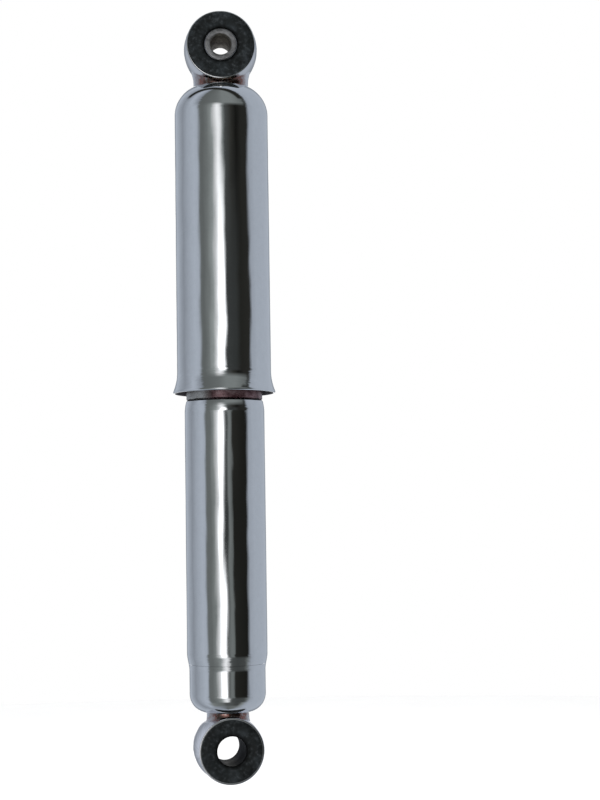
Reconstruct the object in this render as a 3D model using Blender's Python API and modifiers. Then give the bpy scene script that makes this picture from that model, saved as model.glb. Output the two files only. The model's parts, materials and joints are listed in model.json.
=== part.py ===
"""Enclosed rear shock absorber for a light motorcycle.

The frame's origin is the centre of the upper eye, with +Z up the damper's axis
and both eye bolts running front to back along Y. The upper eye, cover and rod
hang from the bolt; the casing, damper tube and lower eye slide up inside them.
Metres throughout.
"""

import math

import bmesh
import bpy
from mathutils import Vector

MM = 0.001
GAP = 0.3 * MM  # left between pieces that touch

# Driving dimensions
EYE_TO_EYE = 340.0 * MM
LOWER_EYE_TURN = math.radians(8.0)  # how far the lower eye is turned about the damper's axis
WALL = 1.3 * MM  # pressed steel shells
ROUND_STEPS = 32  # sides of the large turned pieces
SMALL_STEPS = 16  # sides of the pieces inside

UPPER_RING_R = 18.0 * MM  # halfway along; the ring is barrel-shaped
UPPER_RING_END_R = 16.7 * MM
UPPER_RING_BORE_R = 15.9 * MM
UPPER_RING_LENGTH = 22.8 * MM
UPPER_SLEEVE_R = 7.85 * MM
UPPER_SLEEVE_BORE_R = 5.1 * MM  # takes an M10 bolt
UPPER_SLEEVE_LENGTH = 24.0 * MM
UPPER_BUSH_LENGTH = 23.6 * MM
UPPER_NECK_R = 13.6 * MM
UPPER_NECK_DEPTH = 9.2 * MM  # half its size front to back

LOWER_RING_R = 16.3 * MM
LOWER_RING_END_R = 15.6 * MM
LOWER_RING_BORE_R = 14.7 * MM
LOWER_RING_LENGTH = 22.2 * MM
LOWER_BUSH_BORE_R = 7.2 * MM  # slips over the swing arm's stud
LOWER_BUSH_LENGTH = 23.0 * MM
LOWER_NECK_R = 10.2 * MM
LOWER_NECK_DEPTH = 8.4 * MM

COVER_R = 22.87 * MM
DOME_ROUND = 15.0 * MM
DOME_TOP = -UPPER_RING_R
FLARE_TOP = -159.2 * MM
FLARE_END = -169.0 * MM
FLARE_REACH = 2.0 * MM

CASING_R = 19.35 * MM
CASING_TOP = -173.3 * MM
CASING_SHOULDER = 22.0 * MM  # radius of the rolled top edge
CASING_SHOULDER_DROP = 0.85 * MM  # how far that edge comes in
SWAGE_TOP = -295.6 * MM
SWAGE_END = -301.8 * MM
SEAM = -299.6 * MM  # where the casing ends and the base takes over the swage
BASE_R = 18.27 * MM
BASE_ROUND = 9.0 * MM
BASE_BOTTOM = -322.9 * MM

SHANK_END = -31.0 * MM  # foot of the upper boss, where the rod is screwed in
ROD_R = 5.0 * MM
ROD_HOLE_R = ROD_R + GAP
SPIGOT_R = 3.5 * MM  # the rod's reduced end, which carries the piston
TUBE_R = 11.0 * MM
TUBE_BORE_R = 10.0 * MM
INSERT_R = TUBE_BORE_R - GAP

SPRING_R = 14.2 * MM  # to the wire's centre
WIRE_R = 2.5 * MM
SPRING_TOP = -26.9 * MM
SPRING_BOTTOM = -291.2 * MM
CLOSED_TURNS = 1.0  # at each end
ACTIVE_TURNS = 15.0
POINTS_PER_TURN = 11

CHROME = ("chrome_plate", (0.62, 0.64, 0.67), 0.08, 1.0)
RUBBER = ("bush_rubber", (0.012, 0.016, 0.020), 0.55, 0.0)
STEEL = ("machined_steel", (0.33, 0.33, 0.34), 0.38, 1.0)
SPRING_STEEL = ("spring_steel", (0.06, 0.065, 0.07), 0.40, 0.6)
BRONZE = ("guide_bronze", (0.20, 0.09, 0.06), 0.35, 0.8)
NYLON = ("nylon", (0.75, 0.72, 0.62), 0.45, 0.0)
SEAL_RUBBER = ("seal_rubber", (0.03, 0.03, 0.03), 0.60, 0.0)
ALLOY = ("cast_alloy", (0.55, 0.55, 0.56), 0.45, 1.0)


def clear_scene():
    for item in list(bpy.data.objects):
        bpy.data.objects.remove(item, do_unlink=True)


def new_collection(name):
    made = bpy.data.collections.new(name)
    bpy.context.scene.collection.children.link(made)
    return made


def material(spec):
    """The Principled material of a (name, colour, roughness, metallic) tuple, made once."""
    name, colour, roughness, metallic = spec
    found = bpy.data.materials.get(name)
    if found:
        return found
    made = bpy.data.materials.new(name)
    made.use_nodes = True
    shader = made.node_tree.nodes["Principled BSDF"]
    shader.inputs["Base Color"].default_value = (*colour, 1.0)
    shader.inputs["Roughness"].default_value = roughness
    shader.inputs["Metallic"].default_value = metallic
    made.diffuse_color = (*colour, 1.0)
    return made


def arc(centre, radius, start, end, count):
    """Points from start to end degrees round a centre in the (radius, height) plane."""
    points = []
    for step in range(count + 1):
        angle = math.radians(start + (end - start) * step / count)
        points.append((centre[0] + radius * math.cos(angle), centre[1] + radius * math.sin(angle)))
    return points


def shell_profile(outer, wall):
    """Closed outline of a turned shell: its outer line, top to bottom, and that line moved in."""
    inner = []
    for index, point in enumerate(outer):
        before = Vector(outer[max(index - 1, 0)])
        after = Vector(outer[min(index + 1, len(outer) - 1)])
        along = (after - before).normalized()
        inward = Vector((along.y, -along.x))
        inner.append(tuple(Vector(point) + inward * wall))
    return outer + inner[::-1]


def turned(name, profile, look, steps=SMALL_STEPS, closed=True, collection=None):
    """A body turned about its own Z axis; an open profile starts and ends on that axis."""
    mesh = bpy.data.meshes.new(name)
    edges = [(i, i + 1) for i in range(len(profile) - 1)]
    if closed:
        edges.append((len(profile) - 1, 0))
    mesh.from_pydata([(r, 0.0, z) for r, z in profile], edges, [])
    made = bpy.data.objects.new(name, mesh)
    (collection or PARTS).objects.link(made)
    screw = made.modifiers.new("Turn", "SCREW")
    screw.axis = "Z"
    screw.steps = steps
    screw.render_steps = steps
    screw.use_merge_vertices = True
    screw.merge_threshold = 1e-6
    screw.use_smooth_shade = True
    mesh.materials.append(material(look))
    return made


def washer(name, outer_r, inner_r, top, bottom, look, steps=SMALL_STEPS):
    """A plain turned ring between two heights."""
    outline = [(outer_r, top), (outer_r, bottom), (inner_r, bottom), (inner_r, top)]
    return turned(name, outline, look, steps)


def hexagon(name, corner_r, hole_r, top, bottom, look):
    """A hexagonal nut with a round hole."""
    nut = turned(
        name,
        [(corner_r, top), (corner_r, bottom), (hole_r, bottom), (hole_r, top)],
        look,
        steps=24,
    )
    bpy.ops.mesh.primitive_cylinder_add(
        vertices=6, radius=corner_r, depth=(top - bottom) * 3.0,
        location=(0.0, 0.0, (top + bottom) / 2.0),
    )
    flats = bpy.context.object
    as_cutter(flats, name + "_flats")
    cut(nut, flats, "INTERSECT")
    return nut


def as_cutter(tool, name):
    tool.name = name
    for home in list(tool.users_collection):
        home.objects.unlink(tool)
    CUTTERS.objects.link(tool)
    tool.hide_render = True
    tool.display_type = "WIRE"


def cut(piece, tool, operation="DIFFERENCE"):
    boolean = piece.modifiers.new(tool.name, "BOOLEAN")
    boolean.operation = operation
    boolean.solver = "EXACT"
    boolean.object = tool


def barrel(middle_r, end_r, length, count=6):
    """The outside of a barrel-shaped ring, from one end of its axis to the other."""
    points = []
    for step in range(count + 1):
        share = 1.0 - 2.0 * step / count
        points.append((middle_r - (middle_r - end_r) * share**2, share * length / 2.0))
    return points


def ring_outline(middle_r, end_r, bore_r, length):
    """Outline of an eye's ring: barrel outside, rounded edges and a plain bore."""
    edge = 0.35 * MM
    half = length / 2.0
    outside = barrel(middle_r, end_r, length - 2.0 * edge)
    return (
        [(end_r - edge, half)] + outside + [(end_r - edge, -half)]
        + [(bore_r, -half), (bore_r, half)]
    )


def bush(name, outer_r, bore_r, length, edge, look):
    """A bush along an eye's axis, with both ends of its outside and bore chamfered."""
    half = length / 2.0
    outline = [
        (bore_r + edge, half),
        (outer_r - edge, half),
        (outer_r, half - edge),
        (outer_r, edge - half),
        (outer_r - edge, -half),
        (bore_r + edge, -half),
        (bore_r, edge - half),
        (bore_r, half - edge),
    ]
    return turned(name, outline, look, ROUND_STEPS)


def on_eye(piece, eye):
    """Lay a piece turned about Z along an eye's bolt, under that eye's empty."""
    piece.parent = eye
    piece.rotation_euler = (math.pi / 2.0, 0.0, 0.0)


def eye_empty(name, height, turn):
    eye = bpy.data.objects.new(name, None)
    PARTS.objects.link(eye)
    eye.location = (0.0, 0.0, height)
    eye.rotation_euler = (0.0, 0.0, turn)
    return eye


def pedestal(name, profile, neck_r, neck_depth, reach, eye, ring, look):
    """A turned boss with an oval neck joined on, hollowed to sit against the eye's ring."""
    boss = turned(name, profile, look, ROUND_STEPS, closed=False)
    neck = bmesh.new()
    bmesh.ops.create_cone(
        neck, cap_ends=True, segments=ROUND_STEPS, radius1=neck_r, radius2=neck_r,
        depth=abs(reach[1] - reach[0]),
    )
    bmesh.ops.scale(neck, vec=(1.0, neck_depth / neck_r, 1.0), verts=neck.verts)
    mesh = bpy.data.meshes.new(name + "_neck")
    neck.to_mesh(mesh)
    neck.free()
    oval = bpy.data.objects.new(name + "_neck", mesh)
    as_cutter(oval, name + "_neck")
    oval.location = (0.0, 0.0, (reach[0] + reach[1]) / 2.0)
    oval.rotation_euler = (0.0, 0.0, eye.rotation_euler[2])
    cut(boss, oval, "UNION")
    middle_r, end_r, length = ring
    outside = [(r + GAP, z) for r, z in barrel(middle_r, end_r, length)]
    half = length / 2.0
    saddle = turned(
        name + "_saddle", [(0.0, half)] + outside + [(0.0, -half)], look,
        ROUND_STEPS * 2, closed=False, collection=CUTTERS,
    )
    on_eye(saddle, eye)
    as_cutter(saddle, name + "_saddle")
    cut(boss, saddle)
    return boss


def make_upper_eye():
    eye = eye_empty("upper_eye_axis", 0.0, 0.0)
    ring = turned(
        "upper_eye_ring",
        ring_outline(UPPER_RING_R, UPPER_RING_END_R, UPPER_RING_BORE_R, UPPER_RING_LENGTH),
        CHROME, ROUND_STEPS,
    )
    on_eye(ring, eye)
    rubber = bush(
        "upper_bush_rubber", UPPER_RING_BORE_R - GAP, UPPER_SLEEVE_R + GAP,
        UPPER_BUSH_LENGTH, 0.5 * MM, RUBBER,
    )
    on_eye(rubber, eye)
    sleeve = bush(
        "upper_bush_sleeve", UPPER_SLEEVE_R, UPPER_SLEEVE_BORE_R,
        UPPER_SLEEVE_LENGTH, 0.3 * MM, STEEL,
    )
    on_eye(sleeve, eye)
    flange_bottom = -23.0 * MM
    shank_r = 9.0 * MM
    socket_top = -21.5 * MM
    top = DOME_TOP - GAP
    profile = [
        (0.0, top),
        (UPPER_NECK_R, top),
        (UPPER_NECK_R, flange_bottom),
        (shank_r, flange_bottom),
        (shank_r, SHANK_END),
        (ROD_HOLE_R, SHANK_END),
        (ROD_HOLE_R, socket_top),
        (0.0, socket_top),
    ]
    pedestal(
        "upper_eye_boss", profile, UPPER_NECK_R - 0.05 * MM, UPPER_NECK_DEPTH,
        (-20.0 * MM, -8.0 * MM), eye,
        (UPPER_RING_R, UPPER_RING_END_R, UPPER_RING_LENGTH), CHROME,
    )


def make_lower_eye():
    eye = eye_empty("lower_eye_axis", -EYE_TO_EYE, LOWER_EYE_TURN)
    ring = turned(
        "lower_eye_ring",
        ring_outline(LOWER_RING_R, LOWER_RING_END_R, LOWER_RING_BORE_R, LOWER_RING_LENGTH),
        CHROME, ROUND_STEPS,
    )
    on_eye(ring, eye)
    rubber = bush(
        "lower_bush_rubber", LOWER_RING_BORE_R - GAP, LOWER_BUSH_BORE_R,
        LOWER_BUSH_LENGTH, 0.6 * MM, RUBBER,
    )
    on_eye(rubber, eye)
    flange_r = 11.4 * MM
    flange_top = -316.0 * MM
    flange_bottom = -320.9 * MM
    bottom = BASE_BOTTOM - 0.1 * MM
    profile = [
        (0.0, flange_top),
        (flange_r, flange_top),
        (flange_r, flange_bottom),
        (LOWER_NECK_R, flange_bottom),
        (LOWER_NECK_R, bottom),
        (0.0, bottom),
    ]
    pedestal(
        "lower_eye_boss", profile, LOWER_NECK_R - 0.05 * MM, LOWER_NECK_DEPTH,
        (-321.0 * MM, -331.0 * MM), eye,
        (LOWER_RING_R, LOWER_RING_END_R, LOWER_RING_LENGTH), CHROME,
    )


def make_cover():
    """The upper shell: a hole for the boss, a domed shoulder, and a flared open end."""
    hole_r = UPPER_NECK_R + GAP
    dome_centre = (COVER_R - DOME_ROUND, DOME_TOP - DOME_ROUND)
    start = math.degrees(math.acos((hole_r - dome_centre[0]) / DOME_ROUND))
    outer = arc(dome_centre, DOME_ROUND, start, 0, 7)
    flare_points = 6
    for step in range(flare_points + 1):
        share = step / flare_points
        height = FLARE_TOP + (FLARE_END - FLARE_TOP) * share
        outer.append((COVER_R + FLARE_REACH * share**2, height))
    outline = shell_profile(outer, WALL)
    outline[-1] = (hole_r, outline[-1][1])
    lip_index = len(outer)
    edge_out = Vector(outline[lip_index - 1])
    edge_in = Vector(outline[lip_index])
    rolled = (edge_out + edge_in) / 2.0 + Vector((0.25, -0.5)) * WALL
    outline.insert(lip_index, tuple(rolled))
    turned("upper_cover", outline, CHROME, ROUND_STEPS)


def swage(top, bottom, points):
    """The part between two heights of the smooth step from the casing's radius to the base's."""
    line = []
    for step in range(points + 1):
        height = top + (bottom - top) * step / points
        share = (height - SWAGE_TOP) / (SWAGE_END - SWAGE_TOP)
        fall = (1.0 - math.cos(math.pi * share)) / 2.0
        line.append((CASING_R + (BASE_R - CASING_R) * fall, height))
    return line


def make_casing():
    """The lower shell: a rolled shoulder at its top, and its foot swaged in to the seam."""
    angle = math.degrees(math.acos(1.0 - CASING_SHOULDER_DROP / CASING_SHOULDER))
    rise = CASING_SHOULDER * math.sin(math.radians(angle))
    outer = arc((CASING_R - CASING_SHOULDER, CASING_TOP - rise), CASING_SHOULDER, angle, 0, 3)
    outer += swage(SWAGE_TOP, SEAM, 4)
    turned("lower_casing", shell_profile(outer, WALL), CHROME, ROUND_STEPS)


def make_base():
    """The pressed cup that closes the casing, with a spigot up inside its foot."""
    spigot_r = BASE_R - WALL - 0.35 * MM
    hole_r = LOWER_NECK_R + GAP
    spigot_top = -293.5 * MM
    seam = SEAM - GAP
    centre = (BASE_R - BASE_ROUND, BASE_BOTTOM + BASE_ROUND)
    end = -math.degrees(math.acos((hole_r - centre[0]) / BASE_ROUND))
    outer = [(spigot_r, spigot_top), (spigot_r, seam)] + swage(seam, SWAGE_END, 2)
    outer += arc(centre, BASE_ROUND, 0, end, 6)
    inner = arc(centre, BASE_ROUND - WALL, end, 0, 6)
    inner[0] = (hole_r, inner[0][1])
    neck = [(BASE_R - WALL, seam - WALL), (spigot_r - WALL, seam - WALL)]
    inner += neck + [(spigot_r - WALL, spigot_top)]
    turned("casing_base", outer + inner, CHROME, ROUND_STEPS)


def make_guide_ring():
    """The ring on the casing's top edge that runs inside the cover."""
    bore_r = 17.2 * MM
    rib_r = COVER_R - WALL - 0.6 * MM
    collar_r = CASING_R - CASING_SHOULDER_DROP - 0.1 * MM
    outline = [
        (rib_r - 0.5 * MM, -150.0 * MM),
        (rib_r, -150.5 * MM),
        (rib_r, -160.0 * MM),
        (collar_r, -161.5 * MM),
        (collar_r, CASING_TOP + GAP),
        (bore_r, CASING_TOP + GAP),
        (bore_r, -150.0 * MM),
    ]
    turned("guide_ring", outline, BRONZE, ROUND_STEPS)


def make_rod_and_piston():
    socket_end = -22.0 * MM
    shoulder = -171.9 * MM
    rod_end = -192.4 * MM
    piston_top = -174.0 * MM
    piston_bottom = -186.0 * MM
    groove = (-178.0 * MM, -182.0 * MM)
    piston_r = 9.4 * MM
    hole_r = SPIGOT_R + GAP
    rod = [
        (0.0, socket_end),
        (ROD_R - 0.6 * MM, socket_end),
        (ROD_R, socket_end - 0.6 * MM),
        (ROD_R, shoulder),
        (SPIGOT_R, shoulder),
        (SPIGOT_R, rod_end),
        (0.0, rod_end),
    ]
    turned("piston_rod", rod, CHROME, closed=False)
    hexagon("rod_lock_nut", 9.8 * MM, ROD_HOLE_R, SHANK_END - GAP, -37.0 * MM, STEEL)
    washer("bump_stop_washer", 9.3 * MM, ROD_HOLE_R, -37.4 * MM, -38.9 * MM, STEEL)
    bump_top = -39.2 * MM
    bump_end = -60.0 * MM
    waist = (bump_top + bump_end) / 2.0
    bump = [
        (9.0 * MM, bump_top),
        (9.0 * MM, waist + 3.0 * MM),
        (7.4 * MM, waist),
        (8.6 * MM, waist - 3.0 * MM),
        (7.0 * MM, bump_end),
        (ROD_HOLE_R, bump_end),
        (ROD_HOLE_R, bump_top),
    ]
    turned("bump_stop", bump, RUBBER)
    washer("rebound_stop", 8.6 * MM, ROD_HOLE_R, -161.5 * MM, shoulder + GAP, NYLON)
    washer("piston_shims", 7.6 * MM, hole_r, shoulder - GAP, piston_top + GAP, SPRING_STEEL)
    piston = [
        (piston_r, piston_top),
        (piston_r, groove[0]),
        (piston_r - 1.4 * MM, groove[0]),
        (piston_r - 1.4 * MM, groove[1]),
        (piston_r, groove[1]),
        (piston_r, piston_bottom),
        (hole_r, piston_bottom),
        (hole_r, piston_top),
    ]
    turned("piston", piston, ALLOY)
    washer(
        "piston_ring", INSERT_R, piston_r - 1.1 * MM,
        groove[0] - GAP, groove[1] + GAP, NYLON,
    )
    hexagon("piston_nut", 6.8 * MM, hole_r, piston_bottom - GAP, -191.4 * MM, STEEL)


def make_spring():
    """The coil with closed ends, and the two seats it bears on."""
    shank_hole_r = 9.4 * MM
    collar_r = 11.2 * MM
    washer("thrust_washer", 13.2 * MM, shank_hole_r, -23.3 * MM, -24.3 * MM, NYLON, 24)
    seat = [
        (17.0 * MM, -24.6 * MM),
        (17.0 * MM, SPRING_TOP + GAP),
        (collar_r, SPRING_TOP + GAP),
        (collar_r, -30.4 * MM),
        (shank_hole_r, -30.4 * MM),
        (shank_hole_r, -24.6 * MM),
    ]
    turned("upper_spring_seat", seat, STEEL, 24)
    lower_seat = [
        (17.6 * MM, SPRING_BOTTOM - GAP),
        (17.6 * MM, -293.2 * MM),
        (11.6 * MM, -293.2 * MM),
        (11.6 * MM, SPRING_BOTTOM - GAP),
    ]
    turned("lower_spring_seat", lower_seat, STEEL, 24)

    turns = 2.0 * CLOSED_TURNS + ACTIVE_TURNS
    closed_pitch = 2.0 * WIRE_R + 0.4 * MM
    length = SPRING_TOP - SPRING_BOTTOM - 2.0 * WIRE_R
    open_pitch = (length - 2.0 * CLOSED_TURNS * closed_pitch) / ACTIVE_TURNS
    total = int(turns * POINTS_PER_TURN)
    curve = bpy.data.curves.new("coil_spring", "CURVE")
    curve.dimensions = "3D"
    curve.bevel_depth = WIRE_R
    curve.bevel_resolution = 2
    curve.use_fill_caps = True
    line = curve.splines.new("POLY")
    line.points.add(total)
    for index in range(total + 1):
        turn = index / POINTS_PER_TURN
        first = min(turn, CLOSED_TURNS)
        middle = min(max(turn - CLOSED_TURNS, 0.0), ACTIVE_TURNS)
        last = max(turn - CLOSED_TURNS - ACTIVE_TURNS, 0.0)
        height = SPRING_TOP - WIRE_R - (first + last) * closed_pitch - middle * open_pitch
        angle = 2.0 * math.pi * turn
        line.points[index].co = (
            SPRING_R * math.cos(angle), SPRING_R * math.sin(angle), height, 1.0,
        )
    coil = bpy.data.objects.new("coil_spring", curve)
    PARTS.objects.link(coil)
    curve.materials.append(material(SPRING_STEEL))


def make_damper():
    """The oil tube on the lower boss, its rod guide and seals, and the valve at its foot."""
    tube_top = -140.0 * MM
    tube_bottom = -315.7 * MM
    washer("damper_tube", TUBE_R, TUBE_BORE_R, tube_top, tube_bottom, STEEL, 24)
    gland_hole_r = ROD_HOLE_R + 0.3 * MM
    gland = [
        (TUBE_R, -137.0 * MM),
        (TUBE_R, tube_top + GAP),
        (INSERT_R, tube_top + GAP),
        (INSERT_R, -143.0 * MM),
        (gland_hole_r, -143.0 * MM),
        (gland_hole_r, -137.0 * MM),
    ]
    turned("gland_nut", gland, STEEL, 24)
    wiper = [
        (6.2 * MM, -134.0 * MM),
        (8.0 * MM, -135.2 * MM),
        (8.0 * MM, -136.7 * MM),
        (ROD_HOLE_R, -136.7 * MM),
        (ROD_HOLE_R, -134.0 * MM),
    ]
    turned("rod_wiper", wiper, SEAL_RUBBER)
    washer("rod_seal", INSERT_R, ROD_HOLE_R, -143.3 * MM, -148.2 * MM, SEAL_RUBBER, 24)
    washer("rod_guide", INSERT_R, ROD_HOLE_R, -148.5 * MM, -160.0 * MM, BRONZE, 24)
    foot = [
        (3.0 * MM, -305.5 * MM),
        (3.0 * MM, -310.0 * MM),
        (INSERT_R, -310.0 * MM),
        (INSERT_R, tube_bottom),
        (1.6 * MM, tube_bottom),
        (1.6 * MM, -305.5 * MM),
    ]
    turned("foot_valve", foot, ALLOY, 24)


clear_scene()
PARTS = new_collection("rear_shock_absorber")
CUTTERS = new_collection("cutters")
make_upper_eye()
make_cover()
make_rod_and_piston()
make_spring()
make_casing()
make_guide_ring()
make_base()
make_damper()
make_lower_eye()
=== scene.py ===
"""Looks of the enclosed rear shock absorber: smooth chrome shells, rubber bushes and a studio.

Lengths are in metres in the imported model's frame: the origin is the upper eye's centre, +Z up the
damper's axis, and both eye bolts run front to back along Y.
"""

import json
import math

import bmesh
import bpy
from mathutils import Matrix, Vector


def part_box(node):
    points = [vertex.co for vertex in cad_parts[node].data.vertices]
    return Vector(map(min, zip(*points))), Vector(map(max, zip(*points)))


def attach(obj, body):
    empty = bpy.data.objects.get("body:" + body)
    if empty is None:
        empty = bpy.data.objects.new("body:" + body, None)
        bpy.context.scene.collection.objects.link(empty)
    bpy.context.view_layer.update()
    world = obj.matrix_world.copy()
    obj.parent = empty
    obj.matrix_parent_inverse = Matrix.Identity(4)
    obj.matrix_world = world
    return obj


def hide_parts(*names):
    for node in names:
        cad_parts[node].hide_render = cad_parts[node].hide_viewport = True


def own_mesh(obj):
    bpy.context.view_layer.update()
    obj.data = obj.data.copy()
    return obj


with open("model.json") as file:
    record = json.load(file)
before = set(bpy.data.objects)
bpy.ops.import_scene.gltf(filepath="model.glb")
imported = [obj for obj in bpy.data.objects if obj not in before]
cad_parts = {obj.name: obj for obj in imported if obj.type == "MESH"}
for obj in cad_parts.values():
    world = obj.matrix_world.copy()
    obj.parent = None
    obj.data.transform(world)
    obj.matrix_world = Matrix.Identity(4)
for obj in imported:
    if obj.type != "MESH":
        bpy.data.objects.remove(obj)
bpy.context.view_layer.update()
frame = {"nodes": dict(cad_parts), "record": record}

MM = 0.001
SHELL_SIDES = 192  # of the large turned shells
RING_SIDES = 160
BUSH_SIDES = 128
SMALL_SIDES = 96
SHARP_ANGLE = math.radians(38.0)  # edges that turn by more stay crisp
MIX_FIRST, MIX_SECOND, MIX_RESULT = 6, 7, 2  # a Mix node's sockets for colours

UPPER = "upper_assembly"
LOWER = "lower_assembly"


def middle(node):
    low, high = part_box(node)
    return (Vector(low) + Vector(high)) / 2.0


def top_of(node):
    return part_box(node)[1][2]


def bottom_of(node):
    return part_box(node)[0][2]


def half_width(node):
    low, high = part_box(node)
    return (high[0] - low[0]) / 2.0


# ---------------------------------------------------------------- materials


def scaled(colour, share):
    return tuple(channel * share for channel in colour)


class Look:
    """A Principled material and short calls for the nodes that feed it."""

    def __init__(self, name, colour, roughness, metallic=0.0):
        self.material = bpy.data.materials.new(name)
        self.material.use_nodes = True
        self.tree = self.material.node_tree
        self.shader = self.tree.nodes["Principled BSDF"]
        self.shader.inputs["Base Color"].default_value = (*colour, 1.0)
        self.shader.inputs["Roughness"].default_value = roughness
        self.shader.inputs["Metallic"].default_value = metallic
        self.material.diffuse_color = (*colour, 1.0)
        coordinates = self.node("ShaderNodeTexCoord")
        self.place = coordinates.outputs["Object"]

    def node(self, kind, **settings):
        made = self.tree.nodes.new(kind)
        for key, value in settings.items():
            setattr(made, key, value)
        return made

    def link(self, source, target):
        self.tree.links.new(source, target)

    def stretched(self, scale):
        mapping = self.node("ShaderNodeMapping")
        mapping.inputs["Scale"].default_value = scale
        self.link(self.place, mapping.inputs["Vector"])
        return mapping.outputs["Vector"]

    def noise(self, scale, detail=3.0, rough=0.5, vector=None):
        made = self.node("ShaderNodeTexNoise")
        made.inputs["Scale"].default_value = scale
        made.inputs["Detail"].default_value = detail
        made.inputs["Roughness"].default_value = rough
        self.link(vector or self.place, made.inputs["Vector"])
        return made.outputs["Fac"]

    def rings(self, scale):
        """Turning marks round the piece's own Z axis."""
        made = self.node("ShaderNodeTexWave", wave_type="RINGS", rings_direction="Z")
        made.inputs["Scale"].default_value = scale
        made.inputs["Distortion"].default_value = 0.6
        made.inputs["Detail"].default_value = 2.0
        self.link(self.place, made.inputs["Vector"])
        return made.outputs["Fac"]

    def maths(self, operation, first, second=None):
        """A Math node, or a Vector Math one where second is a tuple, of sockets or numbers."""
        kind = "ShaderNodeVectorMath" if isinstance(second, tuple) else "ShaderNodeMath"
        made = self.node(kind, operation=operation)
        for index, value in enumerate((first, second)):
            if isinstance(value, bpy.types.NodeSocket):
                self.link(value, made.inputs[index])
            elif value is not None:
                made.inputs[index].default_value = value
        return made.outputs["Value"] if operation == "DOT_PRODUCT" else made.outputs[0]

    def parts(self, vector=None):
        made = self.node("ShaderNodeSeparateXYZ")
        self.link(vector or self.place, made.inputs["Vector"])
        return made.outputs

    def radius(self):
        """Distance from the piece's own Z axis."""
        parts = self.parts()
        flat = self.node("ShaderNodeCombineXYZ")
        self.link(parts["X"], flat.inputs["X"])
        self.link(parts["Y"], flat.inputs["Y"])
        length = self.node("ShaderNodeVectorMath", operation="LENGTH")
        self.link(flat.outputs[0], length.inputs[0])
        return length.outputs["Value"]

    def ramp(self, value, stops):
        made = self.node("ShaderNodeValToRGB")
        elements = made.color_ramp.elements
        while len(elements) < len(stops):
            elements.new(0.5)
        for element, (at, colour) in zip(elements, stops):
            element.position = at
            element.color = (*colour, 1.0)
        self.link(value, made.inputs["Fac"])
        return made.outputs["Color"]

    def span(self, value, low, high, at=(0.3, 0.7)):
        """The value's range from at[0] to at[1] spread from low to high, and held beyond it."""
        made = self.node("ShaderNodeMapRange")
        made.inputs["From Min"].default_value = at[0]
        made.inputs["From Max"].default_value = at[1]
        made.inputs["To Min"].default_value = low
        made.inputs["To Max"].default_value = high
        self.link(value, made.inputs["Value"])
        return made.outputs["Result"]

    def mixed(self, share, first, second):
        made = self.node("ShaderNodeMix", data_type="RGBA")
        self.link(share, made.inputs["Factor"])
        self.link(first, made.inputs[MIX_FIRST])
        self.link(second, made.inputs[MIX_SECOND])
        return made.outputs[MIX_RESULT]

    def colour(self, value, stops):
        self.link(self.ramp(value, stops), self.shader.inputs["Base Color"])

    def roughness(self, value, low, high):
        self.link(self.span(value, low, high), self.shader.inputs["Roughness"])

    def bumps(self, *layers):
        """Bump from (height socket, strength, depth in metres) layers, the coarsest first."""
        normal = None
        for height, strength, depth in layers:
            made = self.node("ShaderNodeBump")
            made.inputs["Strength"].default_value = strength
            made.inputs["Distance"].default_value = depth
            self.link(height, made.inputs["Height"])
            if normal:
                self.link(normal, made.inputs["Normal"])
            normal = made.outputs["Normal"]
        self.link(normal, self.shader.inputs["Normal"])


def chrome_look(name="chrome_plate", tone_and_light=(0.72, 0.738, 0.758)):
    """Bright plate: faint haze, polishing streaks along the tube and a very slight ripple."""
    look = Look(name, tone_and_light, 0.045, 1.0)
    haze = look.noise(340.0, 5.0, 0.6)
    look.colour(haze, [(0.30, scaled(tone_and_light, 0.975)), (0.72, scaled(tone_and_light, 1.025))])
    look.roughness(haze, 0.030, 0.062)
    ripple = look.noise(70.0, 1.0, 0.4, look.stretched((1.0, 1.0, 0.35)))
    streaks = look.noise(900.0, 2.0, 0.5, look.stretched((1.0, 1.0, 0.05)))
    look.bumps((ripple, 0.05, 0.0004), (streaks, 0.010, 0.00005))
    return look.material


def neck_look(name, width):
    """Plate on a neck of that half width: bright at its two sides, and dark reddish in patches on
    its front and back faces, partly copper showing through thin plate and partly painted shade."""
    look = Look(name, (0.60, 0.58, 0.58), 0.12, 1.0)
    patches = look.noise(380.0, 4.0, 0.62)
    # Painted shade with copper: this dark reddish tone covers all of the neck but its two sides.
    copper_and_shade = look.ramp(patches, [
        (0.42, (0.20, 0.155, 0.145)), (0.52, (0.26, 0.11, 0.09)), (0.60, (0.34, 0.31, 0.30)),
    ])
    bright = look.ramp(patches, [
        (0.34, (0.60, 0.50, 0.48)), (0.46, (0.70, 0.70, 0.725)), (0.70, (0.74, 0.75, 0.77)),
    ])
    aside = look.maths("ABSOLUTE", look.parts()["X"])
    share = look.span(aside, 0.0, 1.0, (width * 0.76, width * 0.94))
    look.link(look.mixed(share, copper_and_shade, bright), look.shader.inputs["Base Color"])
    look.roughness(patches, 0.10, 0.26)
    look.bumps((look.noise(520.0, 2.0), 0.30, 0.00030), (look.noise(1500.0, 3.0), 0.25, 0.00008))
    return look.material


def inside_look():
    """The unplated inside of the shells: dark steel with a reddish oxide."""
    look = Look("shell_inside", (0.040, 0.032, 0.035), 0.45, 0.6)
    patches = look.noise(260.0, 5.0, 0.6)
    look.colour(patches, [
        (0.34, (0.018, 0.013, 0.015)), (0.56, (0.040, 0.028, 0.031)), (0.78, (0.085, 0.055, 0.055)),
    ])
    look.roughness(patches, 0.36, 0.60)
    look.bumps((patches, 0.30, 0.00012))
    return look.material


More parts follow.
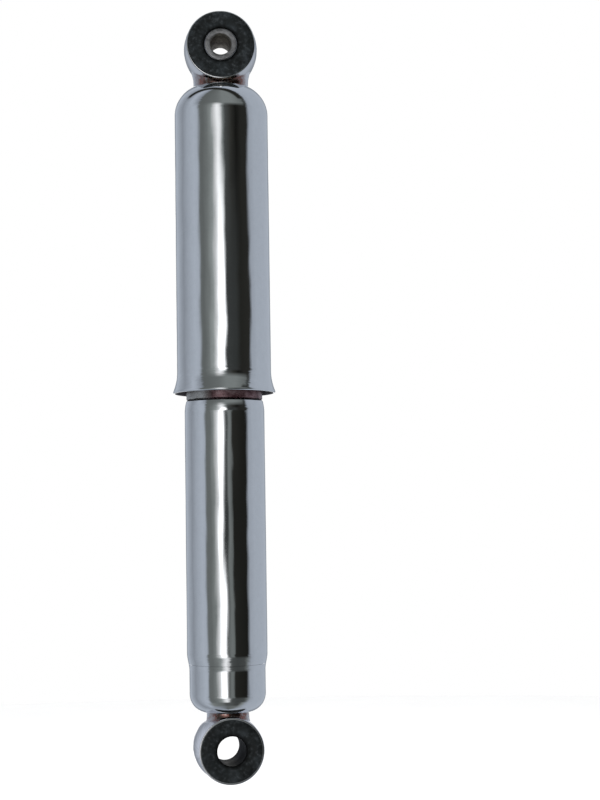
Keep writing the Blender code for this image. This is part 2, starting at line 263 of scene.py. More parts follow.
def rubber_look(name="bush_rubber", dust=1.0, bore=None):
    """Moulded black rubber with a dusty bloom and a fine grain, and painted shade round a bore."""
    look = Look(name, (0.009, 0.012, 0.0135), 0.55)
    bloom = look.noise(150.0, 4.0, 0.60)
    specks = look.noise(620.0, 3.0, 0.70)
    dark = look.ramp(bloom, [
        (0.36, (0.0010, 0.0022, 0.0024)), (0.52, scaled((0.0070, 0.0105, 0.0118), dust)),
        (0.66, scaled((0.026, 0.034, 0.040), dust)),
    ])
    dusty = look.ramp(specks, [
        (0.38, (0.0012, 0.0024, 0.0024)), (0.54, scaled((0.0080, 0.0110, 0.0124), dust)),
        (0.70, scaled((0.036, 0.042, 0.047), dust)),
    ])
    tone = look.mixed(look.span(specks, 0.25, 0.75), dark, dusty)
    if bore:
        # Painted shade: within 2 mm of the bore the rubber turns near black and its specular level
        # drops.
        outside = look.span(look.radius(), 0.0, 1.0, (bore + 0.1 * MM, bore + 2.0 * MM))
        shadow = look.ramp(specks, [
            (0.4, (0.0008, 0.0010, 0.0010)), (0.7, (0.0030, 0.0030, 0.0030)),
        ])
        tone = look.mixed(outside, shadow, tone)
        shine = look.span(outside, 0.04, 0.30, (0.0, 1.0))
        look.link(shine, look.shader.inputs["Specular IOR Level"])
    look.link(tone, look.shader.inputs["Base Color"])
    look.roughness(bloom, 0.44, 0.68)
    look.shader.inputs["Specular IOR Level"].default_value = 0.30
    grain = look.noise(2400.0, 2.0)
    dents = look.noise(300.0, 4.0, 0.6)
    look.bumps((dents, 0.55, 0.0003), (grain, 0.30, 0.00005))
    return look.material


def turned_steel_look(name, bore=None):
    """Dull turned steel with tool marks round the axis and darker stains, oily in a bore."""
    look = Look(name, (0.25, 0.25, 0.26), 0.40, 1.0)
    stain = look.noise(300.0, 5.0, 0.62)
    tone = look.ramp(stain, [
        (0.32, (0.18, 0.178, 0.178)), (0.52, (0.32, 0.32, 0.33)), (0.74, (0.50, 0.50, 0.51)),
    ])
    if bore:
        outside = look.span(look.radius(), 0.0, 1.0, (bore + 0.05 * MM, bore + 0.5 * MM))
        oily = look.ramp(stain, [
            (0.34, (0.18, 0.16, 0.14)), (0.54, (0.42, 0.39, 0.34)), (0.74, (0.66, 0.62, 0.56)),
        ])
        tone = look.mixed(outside, oily, tone)
        look.link(look.span(outside, 0.85, 0.43, (0.0, 1.0)), look.shader.inputs["Roughness"])
    else:
        look.roughness(stain, 0.32, 0.52)
    look.link(tone, look.shader.inputs["Base Color"])
    marks = look.rings(1400.0)
    look.bumps((marks, 0.12, 0.00006), (look.noise(1900.0, 2.0), 0.15, 0.00003))
    return look.material


def spring_steel_look():
    """Dark oil-quenched wire with a drawn grain and lighter worn patches."""
    look = Look("spring_steel", (0.05, 0.052, 0.058), 0.36, 0.75)
    scale = look.noise(240.0, 6.0, 0.6)
    look.colour(scale, [
        (0.32, (0.028, 0.029, 0.034)), (0.60, (0.060, 0.062, 0.068)), (0.80, (0.16, 0.15, 0.14)),
    ])
    look.roughness(scale, 0.28, 0.50)
    look.bumps((look.noise(2200.0, 3.0), 0.2, 0.00004))
    return look.material


def bronze_look():
    """Dark red-brown bearing bronze, oiled, with a painted grey reflection over its -X side."""
    look = Look("guide_bronze", (0.13, 0.085, 0.090), 0.22, 0.62)
    tone = look.noise(260.0, 5.0, 0.6, look.stretched((1.0, 1.0, 1.8)))
    red = look.ramp(tone, [
        (0.34, (0.050, 0.020, 0.024)), (0.50, (0.120, 0.068, 0.076)), (0.66, (0.21, 0.150, 0.162)),
    ])
    # Painted reflection: from X = -6 mm to -10.5 mm the red gives way to this grey, standing in for
    # a reflection.
    painted_reflection = look.ramp(tone, [(0.34, (0.20, 0.20, 0.195)), (0.66, (0.34, 0.35, 0.355))])
    side = look.span(look.parts()["X"], 1.0, 0.0, (-10.5 * MM, -6.0 * MM))
    look.link(look.mixed(side, red, painted_reflection), look.shader.inputs["Base Color"])
    look.roughness(tone, 0.20, 0.42)
    look.bumps((look.rings(900.0), 0.10, 0.00005), (look.noise(700.0, 3.0), 0.25, 0.00010))
    return look.material


def nylon_look():
    look = Look("nylon", (0.72, 0.69, 0.58), 0.42)
    tone = look.noise(260.0, 4.0, 0.55)
    look.colour(tone, [
        (0.30, (0.60, 0.56, 0.45)), (0.60, (0.72, 0.69, 0.58)), (0.85, (0.78, 0.76, 0.68)),
    ])
    look.roughness(tone, 0.34, 0.52)
    look.shader.inputs["Subsurface Weight"].default_value = 0.08
    look.bumps((look.rings(1100.0), 0.10, 0.00004))
    return look.material


def cast_alloy_look():
    look = Look("cast_alloy", (0.50, 0.50, 0.51), 0.45, 1.0)
    grain = look.noise(900.0, 5.0, 0.65)
    look.colour(grain, [
        (0.30, (0.36, 0.36, 0.37)), (0.60, (0.52, 0.52, 0.53)), (0.82, (0.64, 0.64, 0.64)),
    ])
    look.roughness(grain, 0.36, 0.60)
    look.bumps((grain, 0.35, 0.00008))
    return look.material


LOOKS = {
    "chrome_plate": chrome_look(),
    "bush_rubber": rubber_look(),
    "machined_steel": turned_steel_look("machined_steel"),
    "spring_steel": spring_steel_look(),
    "guide_bronze": bronze_look(),
    "nylon": nylon_look(),
    "seal_rubber": rubber_look("seal_rubber"),
    "cast_alloy": cast_alloy_look(),
}
INSIDE = inside_look()


# ---------------------------------------------------------------- shapes


def arc(centre, radius, start, end, count):
    """Points from start to end degrees round a centre in the (radius, height) plane."""
    points = []
    for step in range(count + 1):
        angle = math.radians(start + (end - start) * step / count)
        points.append((centre[0] + radius * math.cos(angle), centre[1] + radius * math.sin(angle)))
    return points


def offset(line, distance):
    """An outline's line moved towards its inside, for one that runs down its outer side."""
    moved = []
    for index, point in enumerate(line):
        before = Vector(line[max(index - 1, 0)])
        after = Vector(line[min(index + 1, len(line) - 1)])
        along = (after - before).normalized()
        moved.append(tuple(Vector(point) + Vector((along.y, -along.x)) * distance))
    return moved


def rounded(corners, radius, count=4):
    """A closed outline with each corner rounded, by no more than its shorter side allows."""
    outline = []
    total = len(corners)
    for index, corner in enumerate(corners):
        here = Vector(corner)
        back = Vector(corners[index - 1]) - here
        ahead = Vector(corners[(index + 1) % total]) - here
        reach = min(radius, back.length * 0.45, ahead.length * 0.45)
        start = here + back.normalized() * reach
        end = here + ahead.normalized() * reach
        for step in range(count + 1):
            share = step / count
            point = start.lerp(here, share).lerp(here.lerp(end, share), share)
            outline.append(tuple(point))
    return outline


def finished(name, points, faces):
    """A smooth-shaded mesh object with its normals outwards."""
    mesh = bpy.data.meshes.new(name)
    mesh.from_pydata(points, [], faces)
    work = bmesh.new()
    work.from_mesh(mesh)
    bmesh.ops.recalc_face_normals(work, faces=work.faces)
    work.to_mesh(mesh)
    work.free()
    mesh.shade_smooth()
    mesh.set_sharp_from_angle(angle=SHARP_ANGLE)
    made = bpy.data.objects.new(name, mesh)
    bpy.context.scene.collection.objects.link(made)
    return made


def lathe(name, outline, sides=SMALL_SIDES):
    """A closed outline turned about its own Z axis into a smooth-shaded mesh object."""
    rings = len(outline)
    points = []
    for side in range(sides):
        angle = 2.0 * math.pi * side / sides
        for radius, height in outline:
            points.append((radius * math.cos(angle), radius * math.sin(angle), height))
    faces = []
    for side in range(sides):
        here = side * rings
        there = (side + 1) % sides * rings
        for ring in range(rings):
            after = (ring + 1) % rings
            faces.append((here + ring, here + after, there + after, there + ring))
    return finished(name, points, faces)


def line_inside(piece, is_inside):
    """The faces whose middles pass the test take the dark finish of a shell's inside."""
    piece.data.materials.append(INSIDE)
    for face in piece.data.polygons:
        if is_inside(face):
            face.material_index = 1


def fit(piece, body, slot, look, *nodes):
    """Give a finished piece its material and body, and hide the CAD nodes it stands for. The slot
    is not used.
    """
    piece.data.materials.append(look)
    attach(piece, body)
    if nodes:
        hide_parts(*nodes)


def eye_place(centre, turn):
    """Lays a piece turned about Z along an eye's bolt, its +Z end towards the front."""
    tip_over = Matrix.Rotation(math.pi / 2.0, 4, "X")
    return Matrix.Translation(centre) @ Matrix.Rotation(turn, 4, "Z") @ tip_over


UPPER_EYE = eye_place(Vector((0.0, 0.0, 0.0)), 0.0)
LOWER_TURN = math.radians(8.0)
LOWER_EYE = eye_place(middle("lower_eye_ring"), LOWER_TURN)

UPPER_RING_R = half_width("upper_eye_ring")
LOWER_RING_R = (top_of("lower_eye_ring") - bottom_of("lower_eye_ring")) / 2.0
# The rings' plate tones are painted light: the upper ring's is darker and the lower ring's brighter
# than the other chrome, as shaded and lit copies of one plate.
UPPER_RING = {  # radii at its middle, ends and bore; half its length; its rims' radius
    "middle": UPPER_RING_R, "end": 16.7 * MM, "bore": 15.75 * MM,
    "half": 11.4 * MM, "rim": 0.7 * MM, "tone_and_light": (0.66, 0.665, 0.68),
}
LOWER_RING = {
    "middle": LOWER_RING_R, "end": 15.6 * MM, "bore": 14.55 * MM,
    "half": 11.1 * MM, "rim": 0.45 * MM, "tone_and_light": (0.86, 0.85, 0.89),
}
SLEEVE_R = 8.1 * MM
SLEEVE_BORE_R = 5.05 * MM


def barrel_radius(ring, along):
    """Radius of a ring's outside at a distance along its bolt from its middle."""
    share = along / ring["half"]
    return ring["middle"] - (ring["middle"] - ring["end"]) * share * share


def eye_ring(name, ring, place, body, node):
    """A barrel-shaped ring with thin rounded rims."""
    half, rim, bore = ring["half"], ring["rim"], ring["bore"]
    edge = 0.2 * MM  # of the bore's chamfers
    count = 28
    outside = []
    for step in range(count + 1):
        along = (half - rim) * (1.0 - 2.0 * step / count)
        outside.append((barrel_radius(ring, along), along))
    first, last = outside[0], outside[-1]
    front = arc((first[0] - rim, first[1]), rim, 90, 12, 5)
    back = arc((last[0] - rim, last[1]), rim, -12, -90, 5)
    inside = [(bore + edge, -half), (bore, edge - half), (bore, half - edge)]
    outline = [(bore + edge, half)] + front + outside + back + inside
    made = lathe(name, outline, RING_SIDES)
    made.matrix_world = place
    fit(made, body, "chrome_plate", chrome_look(name + "_plate", ring["tone_and_light"]), node)


def bush(name, ring, outer, lip, bore, half, dish, dust, place, body, node):
    """A rubber bush whose lips lie over the ring's ends, with faces dished towards the bore."""
    step = ring["half"]
    bead_at = lip - 3.0 * MM
    bead = 0.16 * MM
    front = [
        (bore + 0.25 * MM, half - dish),
        (bore + 2.2 * MM, half - dish * 0.6),
        (bead_at - 1.2 * MM, half - dish * 0.2),
        (bead_at, half + bead - dish * 0.1),
        (bead_at + 1.2 * MM, half - 0.02 * MM),
        (lip - 0.75 * MM, half - 0.05 * MM),
        (lip, half - 0.5 * (half - step)),
        (lip - 0.1 * MM, step + 0.03 * MM),
        (outer, step + 0.03 * MM),
    ]
    back = [(radius, -height) for radius, height in reversed(front)]
    corners = front + back + [(bore, -half + dish + 0.3 * MM), (bore, half - dish - 0.3 * MM)]
    made = lathe(name, rounded(corners, 0.7 * MM), BUSH_SIDES)
    made.matrix_world = place
    fit(made, body, "bush_rubber", rubber_look(name + "_rubber", dust, bore), node)


def sleeve():
    """The upper eye's steel sleeve, with chamfered ends and a plain bolt bore."""
    outer, bore, half, edge = SLEEVE_R, SLEEVE_BORE_R, 12.0 * MM, 0.5 * MM
    corners = [
        (bore + edge, half), (outer - edge, half), (outer, half - edge), (outer, edge - half),
        (outer - edge, -half), (bore + edge, -half), (bore, edge - half), (bore, half - edge),
    ]
    made = lathe("sleeve_bore_steel", rounded(corners, 0.15 * MM, 2))
    made.matrix_world = UPPER_EYE
    look = turned_steel_look("sleeve_steel", bore)
    fit(made, "mount_sleeve", "machined_steel", look, "upper_bush_sleeve")


def neck(name, ring, eye_z, turn, width, depth, root_z, foot_z, foot_r, weld, body, node):
    """The oval neck from root_z, at its shell, to an eye's ring, with a foot inside the shell. Its
    end follows the barrel, sunk a little into the ring, and spreads into the bead of a weld."""
    around = SMALL_SIDES
    levels = 20
    bead_from = 0.35  # of the way up
    sink = 0.35 * MM
    way = 1.0 if eye_z > root_z else -1.0  # towards the eye

    def ring_height(x, y):
        radius = barrel_radius(ring, y) - sink
        return eye_z - way * math.sqrt(max(radius * radius - x * x, 0.0))

    circle = []
    for side in range(around):
        angle = 2.0 * math.pi * side / around
        circle.append((math.cos(angle), math.sin(angle)))
    rows = [[(foot_r * across, foot_r * along, foot_z) for across, along in circle]]
    for level in range(levels + 1):
        share = level / levels
        spread = weld * max(0.0, (share - bead_from) / (1.0 - bead_from)) ** 3
        row = []
        for across, along in circle:
            x = (width + spread) * across
            y = (depth + spread * 0.6) * along
            row.append((x, y, root_z + (ring_height(x, y) - root_z) * share))
        rows.append(row)
    for share in (0.8, 0.6, 0.4, 0.2):
        flat = [(width * share * across, depth * share * along) for across, along in circle]
        rows.append([(x, y, ring_height(x, y)) for x, y in flat])
    points = [point for row in rows for point in row]
    faces = []
    for row in range(len(rows) - 1):
        for side in range(around):
            after = (side + 1) % around
            a, b = row * around + side, row * around + after
            faces.append((a, b, b + around, a + around))
    foot, head = len(points), len(points) + 1
    points += [(0.0, 0.0, foot_z), (0.0, 0.0, ring_height(0.0, 0.0))]
    last = (len(rows) - 1) * around
    for side in range(around):
        after = (side + 1) % around
        faces.append((foot, after, side))
        faces.append((head, last + side, last + after))
    made = finished(name, points, faces)
    made.matrix_world = Matrix.Rotation(turn, 4, "Z")
    fit(made, body, "chrome_plate", neck_look(name + "_plate", width), node)


# ---------------------------------------------------------------- the shock's pieces

DOME_ROUND = 15.0 * MM
COVER_R = 22.87 * MM
WALL = 1.3 * MM
LIP_R = half_width("upper_cover")
CASING_R = half_width("lower_casing")
BASE_R = 18.27 * MM
SWAGE_TOP = -295.0 * MM
SWAGE_END = -302.3 * MM


def faces_in(face):
    """Whether a turned shell's face looks towards its own axis."""
    outward = face.center.x * face.normal.x + face.center.y * face.normal.y
    return outward < -0.5 * math.hypot(face.center.x, face.center.y)


def build_cover():
    dome_top = -UPPER_RING_R
    centre = (COVER_R - DOME_ROUND, dome_top - DOME_ROUND)
    hole_r = half_width("upper_eye_boss") + 0.1 * MM
    start = math.degrees(math.acos((hole_r - centre[0]) / DOME_ROUND))
    outer = arc(centre, DOME_ROUND, start, 0, 28)
    flare_top, lip = -159.2 * MM, -169.0 * MM
    straight = centre[1] - flare_top
    # Rows close to both ends of a straight wall keep its shading straight.
    outer += [(COVER_R, centre[1] - straight * share) for share in (0.01, 0.05, 0.5, 0.95, 0.99)]
    count = 24
    reach = LIP_R - COVER_R - 0.02 * MM
    for step in range(count + 1):
        share = step / count
        outer.append((COVER_R + reach * share**2, flare_top + (lip - flare_top) * share))
    inner = offset(outer, WALL)
    inner[0] = (hole_r, inner[0][1])
    rim_out, rim_in = Vector(outer[-1]), Vector(inner[-1])
    rim = []
    centre_of_rim = (rim_out + rim_in) / 2.0
    across = (rim_out - rim_in) / 2.0
    down = Vector((0.25, -0.97)).normalized() * across.length
    for step in range(1, 7):
        angle = math.pi * step / 7.0
        rim.append(tuple(centre_of_rim + across * math.cos(angle) + down * math.sin(angle)))
    made = lathe("upper_cover_shell", outer + rim + inner[::-1], SHELL_SIDES)
    fit(made, UPPER, "chrome_plate", LOOKS["chrome_plate"], "upper_cover")
    line_inside(made, faces_in)


def swage(top, bottom, count):
    """Outline of the smooth step in from the casing's radius to the base's, from top to bottom."""
    line = []
    for step in range(count + 1):
        height = top + (bottom - top) * step / count
        share = (height - SWAGE_TOP) / (SWAGE_END - SWAGE_TOP)
        fall = 0.35 * share + 0.65 * (1.0 - math.cos(math.pi * share)) / 2.0
        line.append((CASING_R + (BASE_R - CASING_R) * fall, height))
    return line


def build_casing():
    top = top_of("lower_casing")
    foot = bottom_of("lower_casing")
    shoulder, drop = 22.0 * MM, 0.85 * MM  # its radius, and how far it comes in
    roll = 0.7 * MM  # radius of the rolled edge above it
    angle = math.degrees(math.acos(1.0 - drop / shoulder))
    rise = shoulder * math.sin(math.radians(angle))
    edge = arc((CASING_R - drop - roll, top - 0.55 * MM), roll, 75, angle + 4.0, 5)
    outer = edge + arc((CASING_R - shoulder, top - rise), shoulder, angle - 1.5, 0, 16)
    straight = top - rise - SWAGE_TOP
    outer += [(CASING_R, top - rise - straight * share) for share in (0.01, 0.04, 0.5, 0.96, 0.99)]
    outer += swage(SWAGE_TOP, foot, 16)
    made = lathe("lower_casing_shell", outer + offset(outer, WALL)[::-1], SHELL_SIDES)
    fit(made, LOWER, "chrome_plate", LOOKS["chrome_plate"], "lower_casing")
    line_inside(made, faces_in)


def build_base():
    seam = bottom_of("lower_casing") - 0.08 * MM
    spigot_top = top_of("casing_base")
    spigot_r = BASE_R - WALL - 0.35 * MM
    turn = 9.0 * MM
    hole_r = 10.4 * MM
    centre = (BASE_R - turn, bottom_of("casing_base") + turn)
    end = -math.degrees(math.acos((hole_r - centre[0]) / turn))
    outer = [(spigot_r, spigot_top), (spigot_r, seam)] + swage(seam, SWAGE_END, 10)
    outer += [(BASE_R, SWAGE_END - 0.1 * MM), (BASE_R, centre[1] + 0.5 * MM)]
    outer += arc(centre, turn, 0, end, 28)
    inner = arc(centre, turn - WALL, end, 0, 20)
    inner[0] = (hole_r, inner[0][1])
    inner += [
        (BASE_R - WALL, seam - WALL), (spigot_r - WALL, seam - WALL), (spigot_r - WALL, spigot_top),
    ]
    made = lathe("casing_base_cup", outer + inner, SHELL_SIDES)
    fit(made, LOWER, "chrome_plate", LOOKS["chrome_plate"], "casing_base")
    line_inside(made, faces_in)


def build_guide_ring():
    low, high = bottom_of("guide_ring"), top_of("guide_ring")
    rib_r = half_width("guide_ring")
    collar_r = CASING_R - 0.95 * MM
    bore_r = 17.2 * MM
    rib_foot, collar_top, bevel = -160.0 * MM, -161.5 * MM, 0.5 * MM
    corners = [
        (rib_r - bevel, high), (rib_r, high - bevel), (rib_r, rib_foot),
        (collar_r, collar_top), (collar_r, low), (bore_r, low), (bore_r, high),
    ]
    made = lathe("guide_ring_bronze", rounded(corners, 0.4 * MM), SHELL_SIDES)
    fit(made, LOWER, "guide_bronze", LOOKS["guide_bronze"], "guide_ring")


def build_spring():
    """The coil with closed ends."""
    low, high = bottom_of("coil_spring"), top_of("coil_spring")
    wire, coil_r = 2.5 * MM, 14.2 * MM
    turns, closed = 17.0, 1.0
    per_turn, round_wire = 40, 14
    closed_pitch = 2.0 * wire + 0.4 * MM
    open_pitch = (high - low - 2.0 * wire - 2.0 * closed * closed_pitch) / (turns - 2.0 * closed)
    points, faces = [], []
    steps = int(turns * per_turn)
    for step in range(steps + 1):
        turn = step / per_turn
        first = min(turn, closed)
        open_part = min(max(turn - closed, 0.0), turns - 2.0 * closed)
        last = max(turn - turns + closed, 0.0)
        height = high - wire - (first + last) * closed_pitch - open_part * open_pitch
        angle = 2.0 * math.pi * turn
        out = Vector((math.cos(angle), math.sin(angle), 0.0))
        for corner in range(round_wire):
            at = 2.0 * math.pi * corner / round_wire
            lift = Vector((0.0, 0.0, height + wire * math.sin(at)))
            points.append(tuple(out * (coil_r + wire * math.cos(at)) + lift))
    for step in range(steps):
        for corner in range(round_wire):
            after = (corner + 1) % round_wire
            a, b = step * round_wire + corner, step * round_wire + after
            faces.append((a, b, b + round_wire, a + round_wire))
    faces.append(tuple(range(round_wire)))
    faces.append(tuple(reversed(range(steps * round_wire, (steps + 1) * round_wire))))
    made = finished("coil_spring_wire", points, faces)
    fit(made, "spring_perch", "spring_steel", LOOKS["spring_steel"], "coil_spring")
    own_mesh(made)


def dress_inner_nodes():
    """The pieces inside keep their CAD shapes and take the material of their slot."""
    for part in frame["record"]["subparts"]:
        node = frame["nodes"][part["node"]]
        if node.hide_render:
            continue
        for index in range(len(node.material_slots)):
            node.material_slots[index].material = LOOKS[part["material_slot"]]


def build_shock():
    eye_ring("upper_ring_chrome", UPPER_RING, UPPER_EYE, UPPER, "upper_eye_ring")
    bush(
        "upper_bush", UPPER_RING, outer=15.74 * MM, lip=16.25 * MM, bore=SLEEVE_R + 0.02 * MM,
        half=11.8 * MM, dish=0.10 * MM, dust=1.0, place=UPPER_EYE, body=UPPER,
        node="upper_bush_rubber",
    )
    sleeve()
    neck(
        "upper_neck", UPPER_RING, eye_z=0.0, turn=0.0, width=13.45 * MM, depth=9.2 * MM,
        root_z=-21.0 * MM, foot_z=bottom_of("upper_eye_boss"), foot_r=8.9 * MM, weld=1.5 * MM,
        body=UPPER, node="upper_eye_boss",
    )
    build_cover()
    build_guide_ring()
    build_casing()
    build_base()
    neck(
        "lower_neck", LOWER_RING, eye_z=middle("lower_eye_ring").z, turn=LOWER_TURN,
        width=10.15 * MM, depth=8.4 * MM, root_z=-320.4 * MM, foot_z=top_of("lower_eye_boss"),
        foot_r=9.0 * MM, weld=0.7 * MM, body=LOWER, node="lower_eye_boss",
    )
    eye_ring("lower_ring_chrome", LOWER_RING, LOWER_EYE, LOWER, "lower_eye_ring")
    bush(
        "lower_bush", LOWER_RING, outer=14.54 * MM, lip=14.75 * MM, bore=6.95 * MM,
        half=11.5 * MM, dish=0.30 * MM, dust=0.85, place=LOWER_EYE, body=LOWER,
        node="lower_bush_rubber",
    )
    build_spring()
    dress_inner_nodes()


# ---------------------------------------------------------------- studio


def hide_from(thing, *kinds):
    """Keeps a thing out of the sight of those kinds of ray."""
    for kind in kinds:
        setattr(thing, "visible_" + kind, False)


# What the chrome reflects: the tones of the room, and its walls by bearing and elevation.
LIGHT = (0.345, 0.376, 0.425)
DIM = (0.115, 0.124, 0.121)
DARK = (0.016, 0.016, 0.014)
WHITE = (1.0, 1.0, 1.0)


def shaded(stops):
    """(place, tone, brightness) rows as the stops of a colour ramp."""
    return [(at, scaled(tone, brightness)) for at, tone, brightness in stops]


def room_stops(front, left_edge, right_edge):
    """A full turn of the room by bearing in degrees, with 0 at the front, as ramp stops: the given
    rows there, plain grey sides, and a strip light between two dim edges behind."""
    rows = [
        (-180, WHITE, 0.90), (-174, WHITE, 0.90), (-170, LIGHT, 0.55), (-164, LIGHT, 0.55),
        (-150, LIGHT, 1.08), (-112, LIGHT, 0.66), (-92, LIGHT, 0.91), (left_edge - 9, LIGHT, 1.06),
        (left_edge, LIGHT, 1.0),
    ]
    rows += front
    rows += [
        (right_edge, LIGHT, 0.85), (right_edge + 16, LIGHT, 0.97), (150, LIGHT, 1.02),
        (164, LIGHT, 0.55), (170, LIGHT, 0.55), (174, WHITE, 0.90), (180, WHITE, 0.90),
    ]
    return shaded([(angle / 360.0 + 0.5, tone, brightness) for angle, tone, brightness in rows])


HIGH_ROOM = room_stops([
    (-56, DIM, 0.95), (-48, DIM, 0.93), (-36, DIM, 1.22), (-25, DIM, 1.95), (-17, WHITE, 0.60),
    (-11, WHITE, 0.84), (-5, WHITE, 0.66), (2, DIM, 1.8), (8, DIM, 0.5), (22, DARK, 1.6),
    (34, DARK, 0.45), (48, DARK, 1.1), (62, DARK, 1.1),
], -64, 69.5)
MIDDLE_ROOM = room_stops([
    (-56, DIM, 1.0), (-48, DIM, 0.93), (-36, DIM, 1.3), (-25, DIM, 2.3), (-17, WHITE, 0.60),
    (-9, WHITE, 1.5), (1, WHITE, 1.5), (5, WHITE, 0.55), (8, DIM, 0.36), (14, DIM, 0.30),
    (30, DIM, 0.26), (42, DARK, 1.0), (65, DARK, 1.2),
], -64, 72.5)
LOW_ROOM = room_stops([
    (-56, DIM, 1.0), (-44, DIM, 1.04), (-33, DIM, 1.8), (-24, WHITE, 0.60), (-17, WHITE, 1.5),
    (-9, WHITE, 1.5), (-3, WHITE, 0.42), (1, DIM, 0.55), (6, DIM, 0.62), (11, DIM, 1.40),
    (17, DIM, 1.1), (22, DARK, 1.2), (60, DARK, 0.6),
], -63, 70)
WAIST_ROOM = room_stops([
    (-56, DIM, 1.0), (-44, DIM, 1.02), (-33, DIM, 1.6), (-24, WHITE, 0.50), (-17, WHITE, 1.35),
    (-13, WHITE, 1.35), (-8, WHITE, 0.40), (-3, DIM, 0.30), (4, DIM, 0.28), (10, DIM, 1.30),
    (17, DIM, 0.95), (22, DARK, 0.8), (60, DARK, 0.7),
], -63, 70)
FOOT_ROOM = room_stops([
    (-56, DIM, 1.0), (-44, DIM, 1.02), (-33, DIM, 1.5), (-23, WHITE, 0.60), (-16, WHITE, 1.5),
    (-3, WHITE, 1.35), (1, WHITE, 0.38), (5, DIM, 0.75), (11, DIM, 1.25), (18, DIM, 1.15),
    (23, DARK, 1.0), (60, DARK, 0.6),
], -63, 70.5)
CANOPY = room_stops([
    (-72, LIGHT, 0.84), (-63, LIGHT, 0.64), (-56, DIM, 0.85), (-38, DIM, 0.92), (-16, DIM, 1.1),
    (4, DIM, 1.5), (28, DIM, 1.5), (48, DIM, 1.15), (55, DIM, 1.0), (59, DIM, 0.40),
    (64, DIM, 0.45),
], -78, 69)
UNDER = room_stops([
    (-57, DIM, 1.0), (-44, DIM, 0.98), (-32, DIM, 1.3), (-20, DIM, 2.0), (-10, WHITE, 0.62),
    (-3, WHITE, 0.80), (4, WHITE, 0.50), (10, DIM, 0.8), (15, DIM, 0.50), (30, DIM, 0.38),
    (52, DIM, 0.46), (60, DIM, 0.9),
], -65, 74)
BELOW = room_stops([
    (-58, DIM, 1.5), (-46, DIM, 1.25), (-20, DIM, 1.05), (-8, DIM, 0.62), (12, DIM, 0.6),
    (30, DIM, 0.42), (42, DIM, 0.45), (52, DIM, 1.5),
], -80, 68)
CEILING = shaded([
    (0.0, LIGHT, 0.95), (0.30, LIGHT, 0.88), (0.50, LIGHT, 1.0), (0.70, LIGHT, 0.92),
    (1.0, LIGHT, 0.95),
])
GROUND = shaded([
    (0.0, LIGHT, 0.80), (0.30, LIGHT, 0.75), (0.50, DIM, 0.9), (0.62, DIM, 1.1),
    (0.75, LIGHT, 0.9), (1.0, LIGHT, 0.80),
])
LEVELS = (  # the elevations in degrees over which each band of the room gives way to the next
    (-66.0, -56.0, BELOW), (-42.0, -35.0, UNDER), (-18.0, -9.0, FOOT_ROOM),
    (-3.0, -1.6, WAIST_ROOM), (0.0, 2.2, LOW_ROOM), (4.2, 5.2, MIDDLE_ROOM),
    (8.5, 13.5, HIGH_ROOM), (16.0, 25.5, CANOPY), (83.0, 88.0, CEILING),
)
EDGE_SWAY = math.radians(3.4)  # how far the bands' edges wander, as the edges of real things do
EDGE_GRAIN = (2.5, 2.5, 42.0)  # of the noise that moves them: long across and short in height
SEAM_BEARING = math.radians(62.0)  # a dark seam crosses the room overhead in this direction
SEAM_ASIDE = -0.095
SEAM_HALF_WIDTH = 0.10
SEAM_STARTS = (0.58, 0.68)  # sines of the elevations over which it darkens
FLOOR_Z = -1.0  # the object hangs well above it
FLOOR_RADIUS = 6.0
PLATE_REFLECTS = 0.73  # what the chrome gives back head on
ROOM_RADIUS = 50.0  # far enough that a bearing is the same from all over the object
SHOCK_MIDDLE = (0.0, 0.0, -0.17)
FLOOR_BEHIND = (0.0, 2.0, -0.5)  # the floor wash's aim


def build_light_room():
    """A round room of graded light that only reflections see: it gives the chrome its bands."""
    bpy.ops.mesh.primitive_uv_sphere_add(
        segments=SMALL_SIDES, ring_count=SMALL_SIDES // 2, radius=ROOM_RADIUS,
    )
    room = bpy.context.object
    room.name = "light_room"
    look = Look("light_room", (0.5, 0.5, 0.5), 1.0)
    unit = look.node("ShaderNodeVectorMath", operation="NORMALIZE")
    look.link(look.place, unit.inputs[0])
    direction = unit.outputs[0]
    parts = look.parts(direction)
    bearing = look.maths("ARCTAN2", parts["X"], look.maths("MULTIPLY", parts["Y"], -1.0))
    ragged = look.noise(1.0, 3.0, 0.6, look.maths("MULTIPLY", direction, EDGE_GRAIN))
    swayed = look.maths("ADD", bearing, look.span(ragged, -EDGE_SWAY, EDGE_SWAY, (0.32, 0.68)))
    turn = look.span(swayed, 0.0, 1.0, (-math.pi, math.pi))
    height = parts["Z"]
    colour = look.ramp(turn, GROUND)
    for low, high, stops in LEVELS:
        reach = (math.sin(math.radians(low)), math.sin(math.radians(high)))
        colour = look.mixed(look.span(height, 0.0, 1.0, reach), colour, look.ramp(turn, stops))
    across = (math.cos(SEAM_BEARING), math.sin(SEAM_BEARING), 0.0)
    aside = look.maths("DOT_PRODUCT", direction, across)
    apart = look.maths("ABSOLUTE", look.maths("SUBTRACT", aside, SEAM_ASIDE))
    dark = look.span(apart, 1.0, 0.0, (SEAM_HALF_WIDTH * 0.6, SEAM_HALF_WIDTH * 1.4))
    seam = look.maths("MULTIPLY", dark, look.span(height, 0.0, 1.0, SEAM_STARTS))
    seamed = look.node("ShaderNodeMix", data_type="RGBA")
    look.link(seam, seamed.inputs["Factor"])
    look.link(colour, seamed.inputs[MIX_FIRST])
    seamed.inputs[MIX_SECOND].default_value = (*DARK, 1.0)
    glow = look.node("ShaderNodeEmission")
    glow.inputs["Strength"].default_value = 1.0 / PLATE_REFLECTS
    look.link(seamed.outputs[MIX_RESULT], glow.inputs["Color"])
    output = look.tree.nodes["Material Output"]
    look.link(glow.outputs["Emission"], output.inputs["Surface"])
    room.data.materials.append(look.material)
    hide_from(room, "camera", "diffuse", "transmission", "volume_scatter", "shadow")


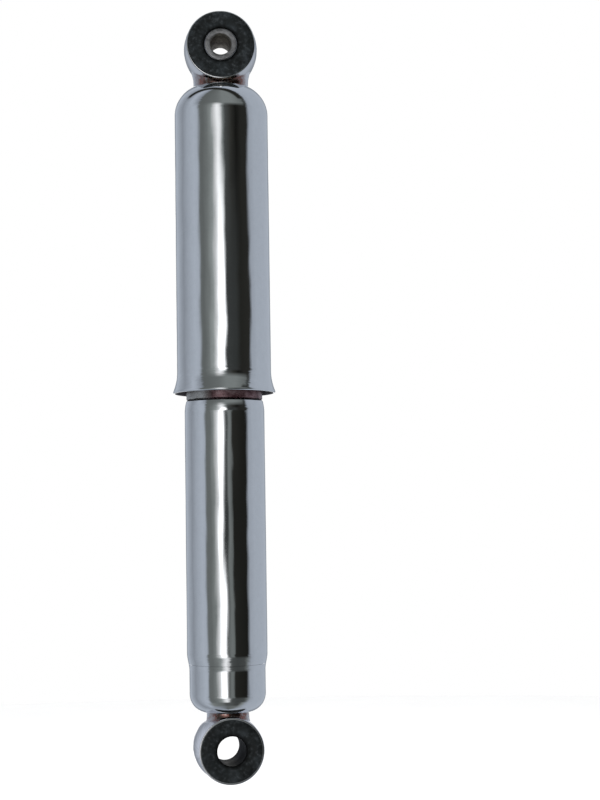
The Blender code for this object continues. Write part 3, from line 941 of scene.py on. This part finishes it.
def build_floor():
    bpy.ops.mesh.primitive_circle_add(
        vertices=SMALL_SIDES, radius=FLOOR_RADIUS, fill_type="NGON", location=(0.0, 0.0, FLOOR_Z),
    )
    floor = bpy.context.object
    floor.name = "pale_floor"
    look = Look("pale_floor", (0.93, 0.93, 0.93), 0.85)
    tone = look.noise(3.0, 2.0)
    look.colour(tone, [(0.3, (0.925, 0.925, 0.925)), (0.7, (0.94, 0.94, 0.94))])
    floor.data.materials.append(look.material)
    hide_from(floor, "glossy")


def area_light(name, place, aim, size, power):
    """A soft round lamp: size is its diameter in metres and power is in watts."""
    lamp = bpy.data.lights.new(name, "AREA")
    lamp.shape = "DISK"
    lamp.size = size
    lamp.energy = power
    made = bpy.data.objects.new(name, lamp)
    bpy.context.scene.collection.objects.link(made)
    made.location = place
    made.rotation_euler = (Vector(aim) - Vector(place)).to_track_quat("-Z", "Y").to_euler()
    hide_from(made, "glossy", "camera")


def build_lights():
    world = bpy.data.worlds.new("studio")
    bpy.context.scene.world = world
    world.use_nodes = True
    background = world.node_tree.nodes["Background"]
    background.inputs["Color"].default_value = (1.0, 1.0, 1.0, 1.0)
    background.inputs["Strength"].default_value = 1.0
    area_light("key_softbox", (-1.2, -1.6, 1.3), SHOCK_MIDDLE, size=1.2, power=14.0)
    area_light("fill_softbox", (1.5, -1.2, 0.4), SHOCK_MIDDLE, size=1.2, power=6.0)
    area_light("floor_wash", (0.0, 1.5, 2.2), FLOOR_BEHIND, size=2.5, power=60.0)
    bpy.context.scene.view_settings.view_transform = "Standard"


FOCAL_LENGTH = 70.2  # mm on a 36 mm sensor
CAMERA_PLACE = (-0.0120, -0.7572, -0.2300)
CAMERA_PAN = math.radians(3.69)  # towards +X, which sets the shock left of the picture's middle
CAMERA_TILT = math.radians(4.27)
CAMERA_ROLL = math.radians(-0.87)


def build_camera():
    data = bpy.data.cameras.new("camera")
    data.lens = FOCAL_LENGTH
    data.sensor_width = 36.0
    data.clip_start = 0.01
    camera = bpy.data.objects.new("camera", data)
    bpy.context.scene.collection.objects.link(camera)
    camera.matrix_world = (
        Matrix.Translation(CAMERA_PLACE)
        @ Matrix.Rotation(-CAMERA_PAN, 4, "Z")
        @ Matrix.Rotation(math.pi / 2.0 + CAMERA_TILT, 4, "X")
        @ Matrix.Rotation(CAMERA_ROLL, 4, "Z")
    )
    bpy.context.scene.camera = camera


build_shock()
build_light_room()
build_floor()
build_lights()
build_camera()
